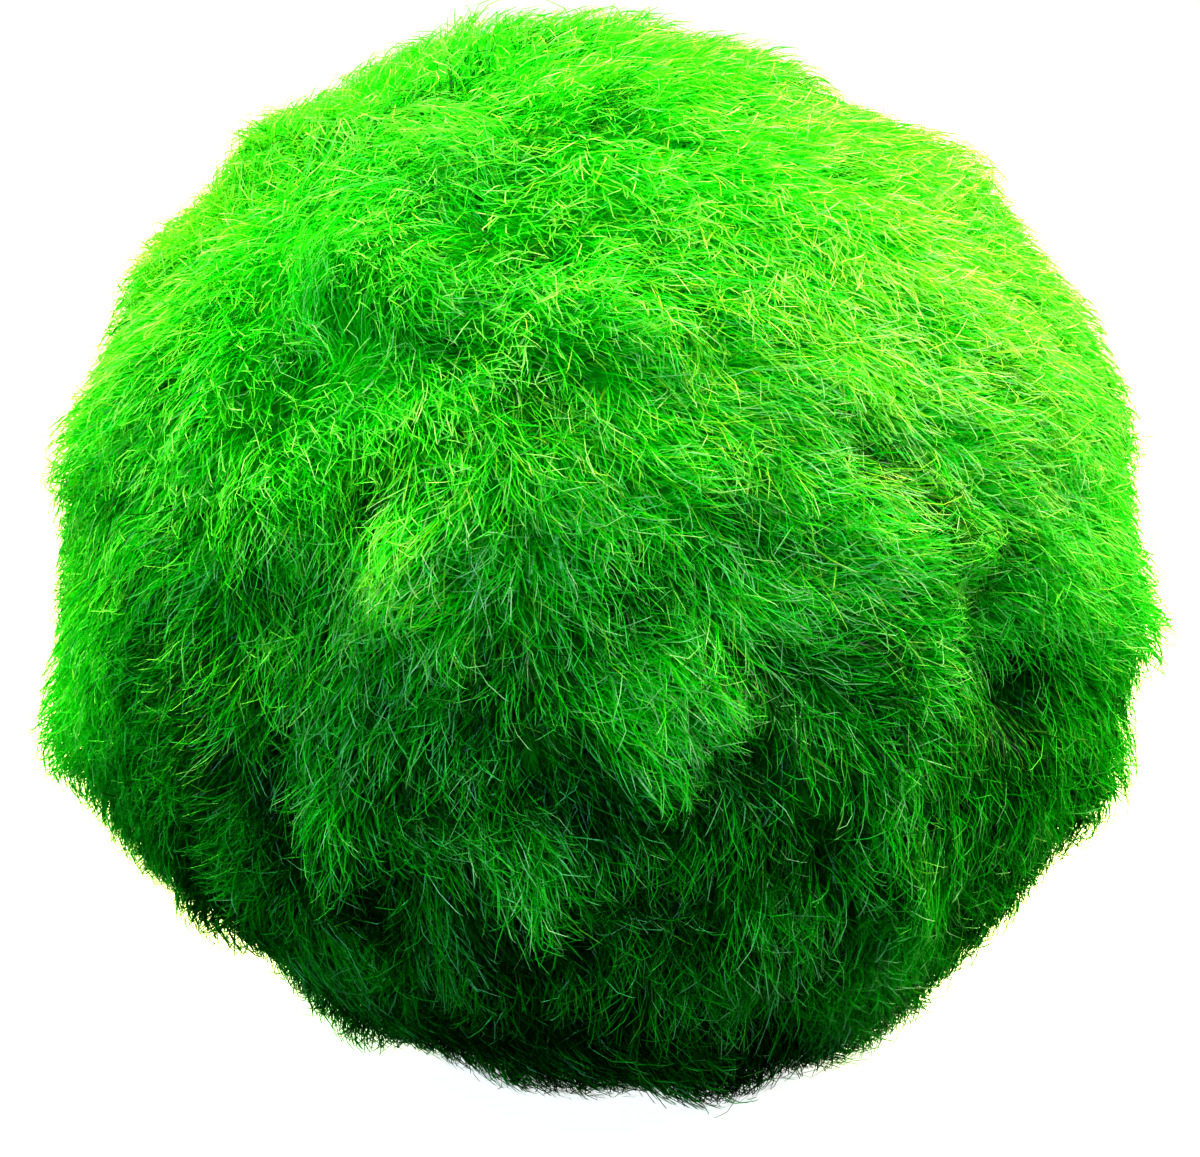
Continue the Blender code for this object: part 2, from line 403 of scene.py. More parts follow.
# Soft round lights: power in W, diameter in metres, degrees round, degrees up, colour
LIGHTS = (
    ("top_light", 1.00, 0.30, 0, 88, (0.90, 0.84, 0.08)),
    ("back_light", 1.55, 0.25, 150, 60, (0.88, 0.62, 0.20)),
    ("right_light", 2.05, 0.25, 118, 30, (0.70, 0.78, 0.20)),
    ("left_light", 2.20, 0.22, -120, 35, (0.50, 0.95, 0.16)),
    ("side_light", 0.74, 0.14, 55, 40, (0.80, 0.88, 0.72)),
    ("front_light", 0.46, 0.14, -20, 15, (0.34, 0.82, 0.84)),
)
LIGHT_DISTANCE = 0.34
SKY_COLOUR = (0.45, 1.0, 0.60, 1.0)
SKY_HEIGHTS = (-0.35, 0.9)  # sine of the height above level from which it brightens, and where it is whole
SKY_LEAST = 0.02  # its share below the first of these
FLOOR_SIDES = 96
SENSOR_WIDTH = 36  # mm


# ---------------------------------------------------------------- settings


class MossBallSettings(bpy.types.PropertyGroup):
    thread_share: bpy.props.FloatProperty(
        name="Threads", description="Share of the full number of threads that is grown", default=1.0,
        min=0.02, max=1.0, subtype="FACTOR")
    thread_width: bpy.props.FloatProperty(
        name="Thread Width", description="Factor on the width of every thread", default=1.0,
        min=0.2, max=3.0)
    mat_depth: bpy.props.FloatProperty(
        name="Mat Depth", description="How far the inner mat lies below the tips of the threads",
        default=1.35 * MM, min=0.0, max=4 * MM, unit="LENGTH")
    mat_colour: bpy.props.FloatVectorProperty(
        name="Mat Colour", description="Colour of the inner mat at the top of the ball", subtype="COLOR",
        size=4, default=(0.002, 0.620, 0.002, 1.0), min=0.0, max=1.0)
    root_colour: bpy.props.FloatVectorProperty(
        name="Root Colour", description="Colour of the brightest threads at their roots", subtype="COLOR",
        size=4, default=(0.003, 0.860, 0.003, 1.0), min=0.0, max=1.0)
    deep_colour: bpy.props.FloatVectorProperty(
        name="Deep Thread Colour", description="Colour of the darkest threads", subtype="COLOR", size=4,
        default=(0.002, 0.130, 0.004, 1.0), min=0.0, max=1.0)
    fresh_colour: bpy.props.FloatVectorProperty(
        name="Fresh Thread Colour", description="Colour of the fresh threads", subtype="COLOR", size=4,
        default=(0.016, 0.870, 0.010, 1.0), min=0.0, max=1.0)
    # The sunny yellow-green is mostly painted sunlight on the lit side of the ball
    sunny_colour: bpy.props.FloatVectorProperty(
        name="Sunny Thread Colour", description="Colour of the yellow-green threads", subtype="COLOR",
        size=4, default=(0.380, 0.760, 0.050, 1.0), min=0.0, max=1.0)
    pale_colour: bpy.props.FloatVectorProperty(
        name="Pale Thread Colour", description="Colour of the palest threads and of the tips",
        subtype="COLOR", size=4, default=(0.620, 0.900, 0.580, 1.0), min=0.0, max=1.0)
    roughness: bpy.props.FloatProperty(
        name="Roughness", description="Roughness of the wet threads", default=0.34, min=0.0, max=1.0)


class MossStageSettings(bpy.types.PropertyGroup):
    floor_colour: bpy.props.FloatVectorProperty(
        name="Floor Colour", description="Colour of the pale floor", subtype="COLOR", size=4,
        default=(0.93, 0.94, 0.93, 1.0), min=0.0, max=1.0)
    floor_glow: bpy.props.FloatProperty(
        name="Floor Glow", description="Light that the floor gives off, so that it is white to its edge",
        default=0.70, min=0.0)
    floor_radius: bpy.props.FloatProperty(
        name="Floor Radius", description="Radius of the round floor", default=3.0, min=0.1, unit="LENGTH")
    light_power: bpy.props.FloatProperty(
        name="Light", description="Factor on the power of every light", default=1.0, min=0.0)
    fill_strength: bpy.props.FloatProperty(
        name="Fill", description="Strength of the light from all round", default=0.05, min=0.0)
    camera_up: bpy.props.FloatProperty(
        name="Camera Elevation", description="How far above level the camera stands",
        default=math.radians(12), subtype="ANGLE")
    camera_distance: bpy.props.FloatProperty(
        name="Camera Distance", description="From the camera to the ball's middle", default=0.160, min=0.05,
        unit="LENGTH")
    camera_lens: bpy.props.FloatProperty(
        name="Focal Length", description="Focal length on a sensor 36 mm wide", default=124.6, min=10.0)
    camera_rise: bpy.props.FloatProperty(
        name="Aim Below Middle", description="How far below the ball's middle the camera aims",
        default=1.28 * MM, unit="LENGTH")


# ---------------------------------------------------------------- the ball's surface


def unit(vectors):
    return vectors / np.maximum(np.linalg.norm(vectors, axis=-1, keepdims=True), 1e-12)


def direction(degrees_round, degrees_up):
    """Unit vector from the ball's centre."""
    a, b = np.radians(degrees_round), np.radians(degrees_up)
    return np.array([np.sin(a) * np.cos(b), -np.cos(a) * np.cos(b), np.sin(b)])


def along_surface(vector, outward):
    """The part of a vector that lies in the surface at each outward direction."""
    return vector - (outward * vector).sum(-1, keepdims=True) * outward


def turned(lie, outward, angle):
    """lie, turned about the outward direction by an angle in radians."""
    angle = np.asarray(angle)[..., None]
    return np.cos(angle) * lie + np.sin(angle) * np.cross(outward, lie)


def nearness(outward, degrees_round, degrees_up, half_width):
    """How near each outward direction is to a place: 1 at the place, and less the farther away."""
    angle = np.degrees(np.arccos(np.clip(outward @ direction(degrees_round, degrees_up), -1, 1)))
    return np.exp(-((angle / half_width) ** 2))


def place_sum(outward, places, anywhere):
    """The amount that holds anywhere, with what the places add to it, at each outward direction."""
    total = np.full(len(outward), float(anywhere))
    for degrees_round, degrees_up, half_width, amount in places:
        total += amount * nearness(outward, degrees_round, degrees_up, half_width)
    return total


def combed(outward):
    """The way the threads lie at each outward direction."""
    lie = unit(along_surface(-direction(*PARTING), outward))
    lie = unit(lie + along_surface(np.array(COMB_DRAW), outward))
    return turned(lie, outward, np.radians(place_sum(outward, LOCAL_TURNS, COMB_TURN)))


def shaded(outward):
    """(the change of tone that paints light and shade, how much prouder the threads stand) at each outward
    direction.
    """
    tone, rise = np.zeros(len(outward)), np.zeros(len(outward))
    for degrees_round, degrees_up, half_width, painted_light_tone, prouder in PAINTED_LIGHT_AND_RISE:
        near = nearness(outward, degrees_round, degrees_up, half_width)
        tone += painted_light_tone * near
        rise += prouder * MM * near
    return tone, rise


def spread_directions(count, rng):
    """Unit vectors spread evenly over a sphere, each moved a little at random."""
    index = np.arange(count) + 0.5
    up = 1 - 2 * index / count
    around = index * math.pi * (3 - math.sqrt(5))
    across = np.sqrt(1 - up * up)
    even = np.stack([across * np.cos(around), across * np.sin(around), up], axis=1)
    spacing = math.sqrt(4 * math.pi / count)
    return unit(even + rng.normal(scale=SCATTER * spacing, size=(count, 3)))


def soft_noise(outward, waves, seed):
    """Smooth noise over the sphere, about -1 to 1, with about that many waves around the ball."""
    rng = np.random.default_rng(seed)
    total = np.zeros(len(outward))
    for _ in range(NOISE_WAVES):
        axis = unit(rng.normal(size=3)) * waves * rng.uniform(*NOISE_SPREAD)
        total += np.sin(outward @ axis + rng.uniform(0, 2 * math.pi))
    return total / math.sqrt(NOISE_WAVES)


def noise_sum(outward, rows):
    """The sum of soft noises, given as rows of amount, waves and seed."""
    return sum(amount * soft_noise(outward, waves, seed) for amount, waves, seed in rows)


class BallSurface:
    """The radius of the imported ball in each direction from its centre, read on a fine grid."""

    ROUND, UP = 360, 180  # steps of the grid

    def __init__(self, node):
        mesh = node.data
        tree = BVHTree.FromPolygons([v.co for v in mesh.vertices], [p.vertices[:] for p in mesh.polygons])
        centre, far = Vector(BALL_CENTRE), 2 * max(BALL_HIGH - BALL_LOW)
        self.radius = np.empty((self.UP + 1, self.ROUND))
        for row in range(self.UP + 1):
            for column in range(self.ROUND):
                way = Vector(direction(column * 360 / self.ROUND, row * 180 / self.UP - 90))
                hit = tree.ray_cast(centre + way * far, -way)[0]
                self.radius[row, column] = (hit - centre).length

    def reach(self, outward):
        """Distance from the centre to the surface in each outward direction."""
        around = np.degrees(np.arctan2(outward[..., 0], -outward[..., 1])) % 360 * self.ROUND / 360
        up = (np.degrees(np.arcsin(np.clip(outward[..., 2], -1, 1))) + 90) * self.UP / 180
        column, row = np.floor(around).astype(int), np.clip(np.floor(up).astype(int), 0, self.UP - 1)
        a, b = around - column, up - row
        left, right = column % self.ROUND, (column + 1) % self.ROUND
        low = self.radius[row, left] * (1 - a) + self.radius[row, right] * a
        high = self.radius[row + 1, left] * (1 - a) + self.radius[row + 1, right] * a
        return low * (1 - b) + high * b


# ---------------------------------------------------------------- threads


def marks_along(steps):
    """How far along a thread its points are, as shares. The last step is short, so that the end is blunt."""
    return np.append(np.linspace(0, BLUNT_FROM, steps), 1.0)


class Bunches:
    """Bunches of neighbouring threads, each with its own turn, lift and tone."""

    def __init__(self, count, seed, turn, waves, lift, tone, length):
        rng = np.random.default_rng(seed)
        self.length = length * MM
        self.outward = spread_directions(count, rng)
        drift = rng.normal(size=count) + soft_noise(self.outward, waves, seed + DRIFT_SEEDS)
        self.turn = np.radians(turn) * drift
        self.lift = rng.uniform(*lift, count) * MM
        self.tone = tone * rng.normal(size=count)
        self.forward = turned(combed(self.outward), self.outward, self.turn)
        self.tree = KDTree(count)
        for index, way in enumerate(self.outward):
            self.tree.insert(way, index)
        self.tree.balance()

    def nearest(self, outward):
        return np.array([self.tree.find(way)[1] for way in outward])

    def ahead(self, index, outward, radius):
        """How far along its bunch each place is: about 0 at the roots and 1 at the tips."""
        offset = (outward - self.outward[index]) * radius[:, None]
        return 0.5 + (offset * self.forward[index]).sum(1) / self.length


def ramp(values, start, end):
    """How far values are on the way from the start to the end, from 0 to 1."""
    return np.clip((values - start) / (end - start), 0, 1)


def thread_tones(layer, root, fringe, painted_light_tone, tuft_tone, wisp_tone, rng):
    """(the tone of each thread, whether it is a sunny yellow-green)."""
    count, up = len(root), root[:, 2]
    # The top of the ball is lighter and more even in tone: painted light
    top = np.clip(TOP_GROWTH * up, 0, 1)
    layer_light_and_shade = layer["tone"] * (1 - TOP_LAYERS_ALIKE * top)
    patches = noise_sum(root, TONE_PATCHES)
    tone = TONE_MIDDLE + layer_light_and_shade + tuft_tone + wisp_tone + patches + TONE_FRINGE * fringe
    tone += PAINTED_TOP_LIGHT * up + painted_light_tone
    tone = np.minimum(tone, FRESHEST) + TONE_SPREAD * (1 - TOP_EVENNESS * top) * rng.normal(size=count)

    # The more faded a place, and the brighter its painted highlight, the more of its threads are pale; the
    # low sides get fewer, as painted shade
    low_sides = ramp(np.abs(root[:, 0]), *LOW_SIDES_ACROSS) * ramp(up, *LOW_SIDES_UP)
    fading_and_highlight = place_sum(root, PAINTED_HIGHLIGHTS, FADING_ANYWHERE) - FADING_ANYWHERE * FADING_LOW_SIDES * low_sides
    by_tuft, by_wisp = FADING_BY_TUFT
    fading_and_highlight *= np.clip(1 + by_tuft * tuft_tone + by_wisp * wisp_tone, *FADING_LIMITS)
    tone += fading_and_highlight * rng.uniform(size=count) ** FADING_RARITY
    # Sunny yellow-green threads: painted sunlight where the light falls strongest, and a small share anywhere
    sunny = rng.uniform(size=count) < place_sum(root, PAINTED_SUNLIGHT, SUNNY_ANYWHERE)
    return np.clip(tone, *TONE_RANGE), sunny


def thread_paths(layer, surface, tufts, wisps, count, rng):
    """(points along each thread, their outward directions, each thread's tone, whether it is sunny)."""
    steps = layer["steps"]
    root = spread_directions(count, rng)
    radius = surface.reach(root)
    tuft, wisp = tufts.nearest(root), wisps.nearest(root)
    length = rng.uniform(*layer["length"], count) * MM
    whorl = nearness(root, *PARTING, WHORL_WIDTH) + nearness(-root, *PARTING, WHORL_WIDTH)
    heading = tufts.turn[tuft] + wisps.turn[wisp] + np.radians(layer["swerve"]) * rng.normal(size=count)
    heading += whorl * rng.uniform(-math.pi, math.pi, count)
    curl = np.radians(layer["curl"]) * rng.normal(size=count)
    kink = np.radians(layer["curl"]) * KINK_SHARE * rng.normal(size=(count, steps))
    fringe = np.clip(tufts.ahead(tuft, root, radius) + 0.5 * length / tufts.length, 0, FRINGE_END)
    painted_light_tone, prouder = shaded(unit(root + combed(root) * (TIP_PLACE * length / radius)[:, None]))
    tip_depth = rng.uniform(*layer["tip"], count) * MM - wisps.lift[wisp] - tufts.lift[tuft] * fringe
    tip_depth -= TUFT_FRINGE * MM * (fringe - FRINGE_MIDDLE) + prouder

    # Each thread grows step by step along the surface, from its root up to the depth of its tip
    here, sunk = root, layer["root"] * MM - tip_depth
    outward, radii = [root], [radius - layer["root"] * MM]
    gather = WISP_PULL * (wisps.outward[wisp] - root) + (1 - WISP_PULL) * (tufts.outward[tuft] - root)
    marks = marks_along(steps)
    for step in range(steps):
        share, stride = marks[step + 1], length * (marks[step + 1] - marks[step])
        lie = turned(combed(here), here, heading + curl * (share - CURL_MIDDLE) + kink[:, step])
        pull = along_surface(gather, here)
        sideways = pull - (pull * lie).sum(-1, keepdims=True) * lie
        here = unit(here + lie * (stride / radii[-1])[:, None] + sideways * layer["pull"] / steps)
        depth = tip_depth + sunk * (1 - share) ** ROOT_RISE
        radii.append(np.maximum(surface.reach(here) - depth, radii[-1] - STEEPEST * stride))
        outward.append(here)
    outward = np.stack(outward, axis=1)
    points = BALL_CENTRE + outward * np.stack(radii, axis=1)[..., None]
    points[..., 2] = np.maximum(points[..., 2], THREAD_CLEARANCE)
    tone, sunny = thread_tones(layer, root, fringe, painted_light_tone, tufts.tone[tuft], wisps.tone[wisp], rng)
    return points, outward, tone, sunny


def ribbon_vertices(points, outward, width, rng):
    """Two vertices at each point of a thread but its last, which is one."""
    count = len(points)
    along = unit(np.gradient(points, axis=1))
    across = unit(np.cross(along, outward))
    proud = np.cross(across, along)
    roll = np.radians(RIBBON_ROLL) * rng.normal(size=(count, 1, 1))
    across = np.cos(roll) * across + np.sin(roll) * proud
    share = marks_along(points.shape[1] - 1)[None, :, None]
    half = 0.5 * width * (1 - TAPER * share**2)
    left, right = points - across * half, points + across * half
    pairs = np.stack([left[:, :-1], right[:, :-1]], axis=2).reshape(count, -1, 3)
    return np.concatenate([pairs, points[:, -1:]], axis=1)


def ribbon_faces(steps):
    """The corners of one ribbon's faces: a row of quads, and a triangle at the tip."""
    quads = [(2 * k, 2 * k + 1, 2 * k + 3, 2 * k + 2) for k in range(steps - 1)]
    return quads + [(2 * steps - 2, 2 * steps - 1, 2 * steps)]


def thread_mesh(name, points, outward, tone, sunny, width, rng):
    """All the threads of a layer as one mesh of ribbons, with their tones in its map."""
    count, steps = len(points), points.shape[1] - 1
    vertices = ribbon_vertices(points, outward, width, rng)
    per_thread = vertices.shape[1]
    vertices[..., 2] = np.maximum(vertices[..., 2], EDGE_CLEARANCE)
    faces = ribbon_faces(steps)
    corners = np.array([corner for face in faces for corner in face])
    sizes = np.array([len(face) for face in faces])
    offsets = np.concatenate([[0], np.cumsum(sizes)[:-1]])

    mesh = bpy.data.meshes.new(name)
    mesh.vertices.add(count * per_thread)
    mesh.vertices.foreach_set("co", vertices.astype(np.float32).ravel())
    mesh.loops.add(count * len(corners))
    all_corners = corners[None, :] + per_thread * np.arange(count)[:, None]
    mesh.loops.foreach_set("vertex_index", all_corners.astype(np.int32).ravel())
    mesh.polygons.add(count * len(faces))
    starts = offsets[None, :] + len(corners) * np.arange(count)[:, None]
    mesh.polygons.foreach_set("loop_start", starts.astype(np.int32).ravel())
    mesh.update(calc_edges=True)

    # Across the map runs the thread's tone, which carries painted light and shade, in its left half for pure
    # green threads and in its right half for sunny ones, whose yellow is mostly painted sunlight, and up it
    # runs the way from root to tip
    side = np.array([0, 1] * steps + [0.5])
    rise = np.append(np.repeat(marks_along(steps)[:-1], 2), 1.0)
    across = 0.5 * (tone + sunny)[:, None] + (side[None, corners] - 0.5) * MAP_WIDTH
    up = np.broadcast_to(MAP_MARGIN + (1 - 2 * MAP_MARGIN) * rise[corners], across.shape)
    layout = mesh.uv_layers.new(name="OFBake")
    layout.data.foreach_set("uv", np.stack([across, up], axis=-1).astype(np.float32).ravel())
    mesh.shade_smooth()
    return mesh


# ---------------------------------------------------------------- materials


def new_material(name):
    material = bpy.data.materials.new(name)
    material.use_nodes = True
    tree = material.node_tree
    return material, tree, tree.nodes["Principled BSDF"]


def feed(tree, socket, source):
    """Link a socket to another node's output, or set it to a value."""
    if isinstance(source, bpy.types.NodeSocket):
        tree.links.new(source, socket)
    else:
        socket.default_value = source


def calculated(tree, operation, *sources, clamped=False):
    """What a calculation with other nodes' outputs and values gives."""
    node = tree.nodes.new("ShaderNodeMath")
    node.operation = operation
    node.use_clamp = clamped
    for socket, source in zip(node.inputs, sources, strict=False):
        feed(tree, socket, source)
    return node.outputs["Value"]


def ranged(tree, source, between, to=(0.0, 1.0), kind="LINEAR"):
    """A value whose range between two limits is stretched to another range, and which stays in it."""
    node = tree.nodes.new("ShaderNodeMapRange")
    node.interpolation_type = kind
    for name, value in zip(("From Min", "From Max", "To Min", "To Max"), (*between, *to), strict=True):
        node.inputs[name].default_value = value
    feed(tree, node.inputs["Value"], source)
    return node.outputs["Result"]


def mixed(tree, factor, first, second, blend="MIX"):
    """A colour on the way from the first to the second one, or blended from both."""
    node = tree.nodes.new("ShaderNodeMix")
    node.data_type = "RGBA"
    node.blend_type = blend
    for name, source in (("Factor", factor), ("A", first), ("B", second)):
        feed(tree, node.inputs[name], source)
    return node.outputs["Result"]


def separated(tree, vector):
    """The outputs X, Y and Z of a vector."""
    node = tree.nodes.new("ShaderNodeSeparateXYZ")
    tree.links.new(vector, node.inputs[0])
    return node.outputs


def thread_colour_group():
    """Node group: the colour of a thread from its tone and from how far along it a point is."""
    if "Thread Colour" in bpy.data.node_groups:
        return bpy.data.node_groups["Thread Colour"]
    group = bpy.data.node_groups.new("Thread Colour", "ShaderNodeTree")
    socket = group.interface.new_socket
    for name in ("Root", "Deep", "Fresh", "Sunny", "Pale"):
        socket(name=name, in_out="INPUT", socket_type="NodeSocketColor")
    socket(name="Pale Tips", in_out="INPUT", socket_type="NodeSocketFloat")
    for name in ("Color", "Through Color"):
        socket(name=name, in_out="OUTPUT", socket_type="NodeSocketColor")
    given = group.nodes.new("NodeGroupInput").outputs
    result = group.nodes.new("NodeGroupOutput").inputs
    place = group.nodes.new("ShaderNodeUVMap")
    place.uv_map = "OFBake"
    parts = separated(group, place.outputs["UV"])
    along = parts["Y"]
    doubled = calculated(group, "MULTIPLY", parts["X"], 2.0)
    tone = calculated(group, "FRACT", doubled)
    sunlit = calculated(group, "FLOOR", doubled)

    # From deep to fresh green, or to sunny yellow-green, and on to pale
    lively = ranged(group, tone, (0.0, FRESH_TONE))
    green = mixed(group, lively, given["Deep"], given["Fresh"])
    coloured = mixed(group, calculated(group, "MULTIPLY", lively, sunlit), green, given["Sunny"])
    body = mixed(group, ranged(group, tone, FADED_TONES), coloured, given["Pale"])

    # Faint bands, since a thread is a row of cells
    cells = group.nodes.new("ShaderNodeTexWave")
    cells.wave_type = "BANDS"
    cells.bands_direction = "Y"
    cells.inputs["Scale"].default_value = 4.2
    cells.inputs["Distortion"].default_value = 1.5
    cells.inputs["Detail"].default_value = 1.0
    group.links.new(place.outputs["UV"], cells.inputs["Vector"])
    banded = ranged(group, cells.outputs["Fac"], (0.0, 1.0), CELL_SHADES)
    cellular = mixed(group, 1.0, body, banded, "MULTIPLY")

    # The root is darker, as painted shade deep among the threads, and the more so the deeper the tone
    roots = mixed(group, ranged(group, tone, LIT_ROOT_TONES), DARKEST_ROOT, given["Root"])
    grown = mixed(group, ranged(group, along, ROOT_STRETCH, kind="SMOOTHSTEP"), roots, cellular)

    # The tip is paler in the livelier threads
    tipward = ranged(group, along, TIP_STRETCH, kind="SMOOTHSTEP")
    paleness = calculated(group, "MULTIPLY", tipward, given["Pale Tips"])
    tipped = mixed(group, calculated(group, "MULTIPLY", paleness, lively), grown, given["Pale"])
    group.links.new(tipped, result["Color"])

    # Light that has gone through a thread is a purer green
    group.links.new(mixed(group, 1.0, tipped, LIGHT_THROUGH, "MULTIPLY"), result["Through Color"])
    return group


def thread_material(settings, name, pale_tips):
    """Wet algal threads: a glossy coat over a colour that light also passes through."""
    material, tree, shader = new_material(name)
    colour = tree.nodes.new("ShaderNodeGroup")
    colour.node_tree = thread_colour_group()
    colour.inputs["Root"].default_value = settings.root_colour
    colour.inputs["Deep"].default_value = settings.deep_colour
    colour.inputs["Fresh"].default_value = settings.fresh_colour
    colour.inputs["Sunny"].default_value = settings.sunny_colour
    colour.inputs["Pale"].default_value = settings.pale_colour
    colour.inputs["Pale Tips"].default_value = pale_tips
    tree.links.new(colour.outputs["Color"], shader.inputs["Base Color"])
    shader.inputs["Roughness"].default_value = settings.roughness
    shader.inputs["Specular IOR Level"].default_value = 0.6
    through = tree.nodes.new("ShaderNodeBsdfTranslucent")
    tree.links.new(colour.outputs["Through Color"], through.inputs["Color"])
    both = tree.nodes.new("ShaderNodeMixShader")
    both.inputs["Fac"].default_value = SEE_THROUGH
    tree.links.new(shader.outputs["BSDF"], both.inputs[1])
    tree.links.new(through.outputs["BSDF"], both.inputs[2])
    tree.links.new(both.outputs["Shader"], tree.nodes["Material Output"].inputs["Surface"])
    return material


def mat_material(settings):
    """The tangle under the threads, with painted shade: nearly black at the foot of the ball, and green at
    its top.
    """
    material, tree, shader = new_material("inner_mat")
    place = tree.nodes.new("ShaderNodeTexCoord").outputs["Object"]
    tangle = tree.nodes.new("ShaderNodeTexNoise")
    tangle.inputs["Scale"].default_value = 900
    tangle.inputs["Detail"].default_value = 5
    tree.links.new(place, tangle.inputs["Vector"])
    height = ranged(tree, separated(tree, place)["Z"], (float(BALL_LOW[2]), float(BALL_HIGH[2])))
    mottled = calculated(tree, "MULTIPLY_ADD", tangle.outputs["Fac"], MAT_MOTTLING, height)
    lit = calculated(tree, "SUBTRACT", mottled, MAT_MOTTLING / 2, clamped=True)
    shaded_foot_colour = [MAT_FOOT_SHADE * part for part in settings.mat_colour[:3]] + [1.0]
    tree.links.new(mixed(tree, lit, shaded_foot_colour, settings.mat_colour), shader.inputs["Base Color"])
    bump = tree.nodes.new("ShaderNodeBump")
    bump.inputs["Strength"].default_value = 0.8
    bump.inputs["Distance"].default_value = 0.2 * MM
    tree.links.new(tangle.outputs["Fac"], bump.inputs["Height"])
    tree.links.new(bump.outputs["Normal"], shader.inputs["Normal"])
    shader.inputs["Roughness"].default_value = 0.8
    return material


# ---------------------------------------------------------------- pieces


def place_piece(mesh, material):
    """The mesh as a piece of the object, which rides on the ball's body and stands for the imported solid."""
    piece = bpy.data.objects.new(mesh.name, mesh)
    bpy.context.scene.collection.objects.link(piece)
    mesh.materials.append(material)
    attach(piece, BODY)
    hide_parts(NODE)
    return piece


class MOSS_OT_mat(bpy.types.Operator):
    """Make the inner mat that the threads are rooted in"""

    bl_idname = "moss.mat"
    bl_label = "Inner Mat"
    bl_options = {"REGISTER", "UNDO"}

    def execute(self, context):
        settings = context.scene.moss_ball
        surface = BallSurface(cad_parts[NODE])
        form = bmesh.new()
        bmesh.ops.create_icosphere(form, subdivisions=MAT_SUBDIVISIONS, radius=1)
        outward = unit(np.array([vert.co for vert in form.verts]))
        lumps = noise_sum(outward, MAT_LUMPS) * MM
        reach = surface.reach(outward) - settings.mat_depth + lumps
        points = BALL_CENTRE + outward * reach[:, None]
        points[:, 2] = np.maximum(points[:, 2], MAT_CLEARANCE)
        for vert, point in zip(form.verts, points, strict=True):
            vert.co = point
        mesh = bpy.data.meshes.new("inner_mat")
        form.to_mesh(mesh)
        form.free()
        mesh.shade_smooth()
        place_piece(mesh, mat_material(settings))
        return {"FINISHED"}


class MOSS_OT_threads(bpy.types.Operator):
    """Grow the layers of combed threads"""

    bl_idname = "moss.threads"
    bl_label = "Threads"
    bl_options = {"REGISTER", "UNDO"}

    def execute(self, context):
        settings = context.scene.moss_ball
        surface = BallSurface(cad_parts[NODE])
        tufts, wisps = Bunches(**TUFTS), Bunches(**WISPS)
        inner = thread_material(settings, "wet_threads", INNER_PALE_TIPS)
        outer = thread_material(settings, "pale_tipped_threads", PALE_TIPS)
        for layer in LAYERS:
            rng = np.random.default_rng(layer["seed"])
            count = int(layer["count"] * settings.thread_share)
            points, outward, tone, sunny = thread_paths(layer, surface, tufts, wisps, count, rng)
            width = layer["width"] * MM * settings.thread_width
            mesh = thread_mesh(layer["name"], points, outward, tone, sunny, width, rng)
            place_piece(mesh, outer if layer["name"] in PALE_TIPPED else inner)
        return {"FINISHED"}


def add_area_light(name, power, size, degrees_round, degrees_up, colour):
    """A round soft light that faces the ball's middle."""
    lamp = bpy.data.lights.new(name, "AREA")
    lamp.shape = "DISK"
    lamp.size = size
    lamp.energy = power
    lamp.color = colour
    light = bpy.data.objects.new(name, lamp)
    way = Vector(direction(degrees_round, degrees_up))
    light.location = Vector(BALL_CENTRE) + way * LIGHT_DISTANCE
    light.rotation_euler = way.to_track_quat("Z", "Y").to_euler()
    bpy.context.scene.collection.objects.link(light)


def set_world(strength):
    """White behind the ball, and a soft light from all round that fades towards the ground."""
    world = bpy.data.worlds.new("studio")
    bpy.context.scene.world = world
    world.use_nodes = True
    tree = world.node_tree
    behind = tree.nodes["Background"]
    behind.inputs["Color"].default_value = (1, 1, 1, 1)
    around = tree.nodes.new("ShaderNodeBackground")
    around.inputs["Color"].default_value = SKY_COLOUR
    way = tree.nodes.new("ShaderNodeTexCoord").outputs["Generated"]
    limits = (SKY_LEAST * strength, strength)
    fade = ranged(tree, separated(tree, way)["Z"], SKY_HEIGHTS, limits, "SMOOTHSTEP")
    tree.links.new(fade, around.inputs["Strength"])
    path = tree.nodes.new("ShaderNodeLightPath")
    both = tree.nodes.new("ShaderNodeMixShader")
    tree.links.new(path.outputs["Is Camera Ray"], both.inputs["Fac"])
    tree.links.new(around.outputs["Background"], both.inputs[1])
    tree.links.new(behind.outputs["Background"], both.inputs[2])
    tree.links.new(both.outputs["Shader"], tree.nodes["World Output"].inputs["Surface"])


def add_floor(settings):
    """A pale round floor that neither colours the ball nor shows in it."""
    form = bmesh.new()
    bmesh.ops.create_circle(form, cap_ends=True, segments=FLOOR_SIDES, radius=settings.floor_radius)
    mesh = bpy.data.meshes.new("floor")
    form.to_mesh(mesh)
    form.free()
    floor = bpy.data.objects.new("floor", mesh)
    bpy.context.scene.collection.objects.link(floor)
    material, _, shader = new_material("pale_floor")
    shader.inputs["Base Color"].default_value = settings.floor_colour
    shader.inputs["Roughness"].default_value = 0.9
    shader.inputs["Emission Color"].default_value = settings.floor_colour
    shader.inputs["Emission Strength"].default_value = settings.floor_glow
    mesh.materials.append(material)
    floor.visible_diffuse = False
    floor.visible_glossy = False
    floor.visible_transmission = False


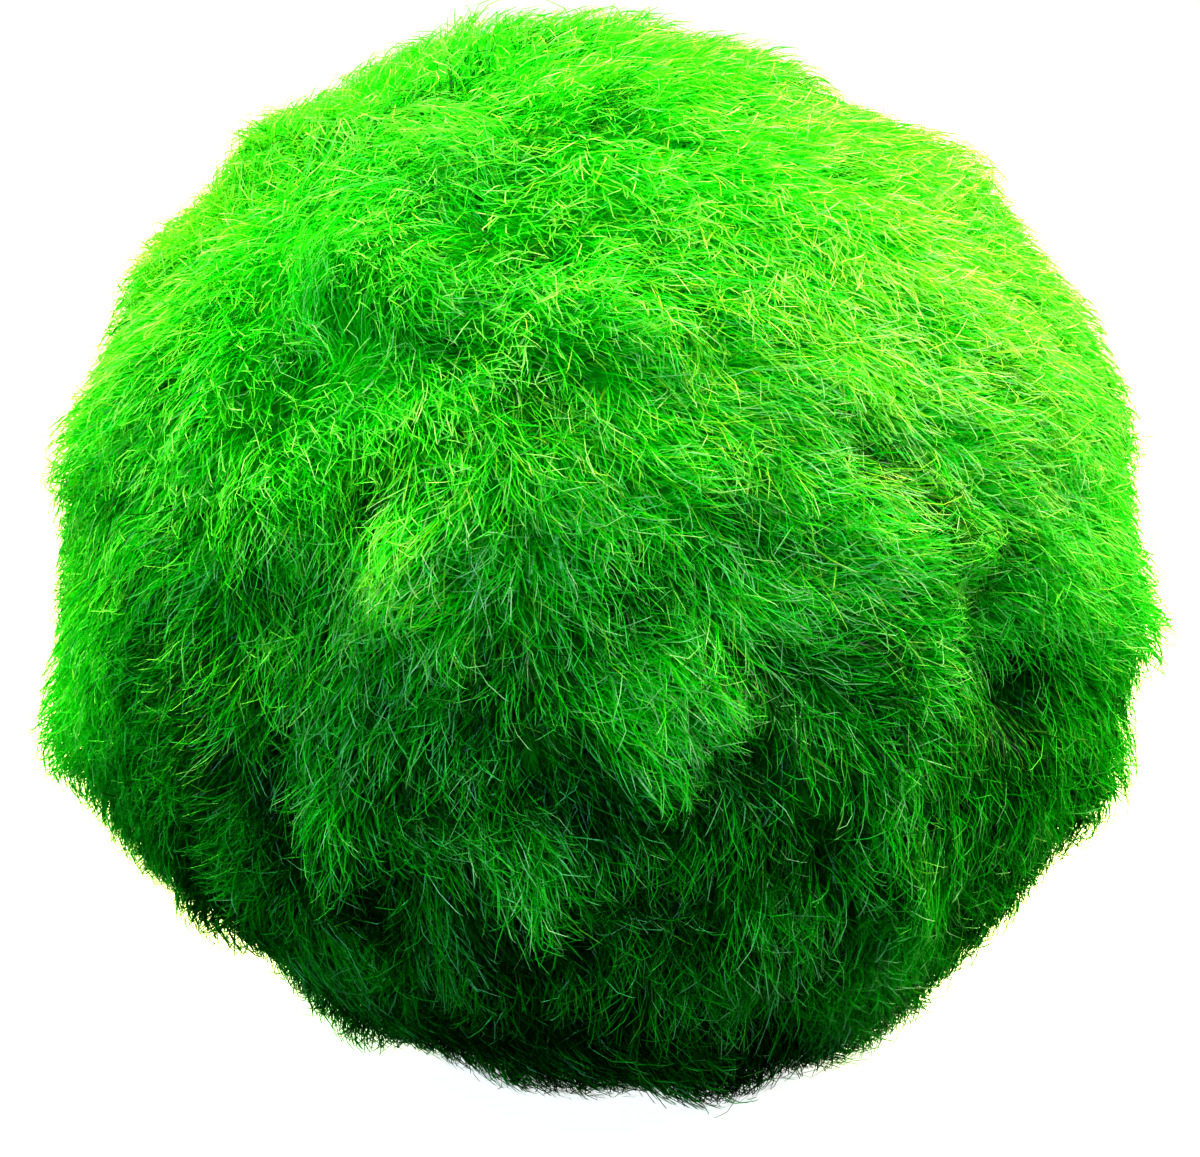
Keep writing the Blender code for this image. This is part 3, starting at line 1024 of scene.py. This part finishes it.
def add_camera(settings):
    """The camera in front of the ball, at the photograph's viewing angle."""
    lens = bpy.data.cameras.new("camera")
    lens.sensor_width = SENSOR_WIDTH
    lens.lens = settings.camera_lens
    lens.clip_start = 0.01
    camera = bpy.data.objects.new("camera", lens)
    way = Vector(direction(0, math.degrees(settings.camera_up)))
    camera.location = Vector(BALL_CENTRE) + way * settings.camera_distance
    camera.location.z -= settings.camera_rise
    camera.rotation_euler = way.to_track_quat("Z", "Y").to_euler()
    bpy.context.scene.collection.objects.link(camera)
    bpy.context.scene.camera = camera


class MOSS_OT_stage(bpy.types.Operator):
    """Set the pale floor, the soft light and the camera"""

    bl_idname = "moss.stage"
    bl_label = "Stage"
    bl_options = {"REGISTER", "UNDO"}

    def execute(self, context):
        settings = context.scene.moss_stage
        add_floor(settings)
        for name, power, size, degrees_round, degrees_up, colour in LIGHTS:
            add_area_light(name, power * settings.light_power, size, degrees_round, degrees_up, colour)
        set_world(settings.fill_strength)
        add_camera(settings)
        context.scene.view_settings.view_transform = "Standard"
        context.scene.view_settings.look = "High Contrast"
        return {"FINISHED"}


# ---------------------------------------------------------------- panel and registration


class MOSS_PT_panel(bpy.types.Panel):
    """Sizes, colours and steps of the moss ball"""

    bl_idname = "MOSS_PT_panel"
    bl_label = "Marimo Moss Ball"
    bl_space_type = "VIEW_3D"
    bl_region_type = "UI"
    bl_category = "Moss Ball"

    def draw(self, context):
        for settings in (context.scene.moss_ball, context.scene.moss_stage):
            column = self.layout.column(align=True)
            for name in settings.__annotations__:
                column.prop(settings, name)
        for operator in (MOSS_OT_stage, MOSS_OT_mat, MOSS_OT_threads):
            self.layout.operator(operator.bl_idname)


CLASSES = (MossBallSettings, MossStageSettings, MOSS_OT_stage, MOSS_OT_mat, MOSS_OT_threads, MOSS_PT_panel)


def register():
    for cls in CLASSES:
        bpy.utils.register_class(cls)
    bpy.types.Scene.moss_ball = bpy.props.PointerProperty(type=MossBallSettings)
    bpy.types.Scene.moss_stage = bpy.props.PointerProperty(type=MossStageSettings)


def unregister():
    del bpy.types.Scene.moss_stage
    del bpy.types.Scene.moss_ball
    for cls in reversed(CLASSES):
        bpy.utils.unregister_class(cls)


def main():
    register()
    bpy.ops.moss.stage()
    bpy.ops.moss.mat()
    bpy.ops.moss.threads()


if __name__ == "__main__":
    main()
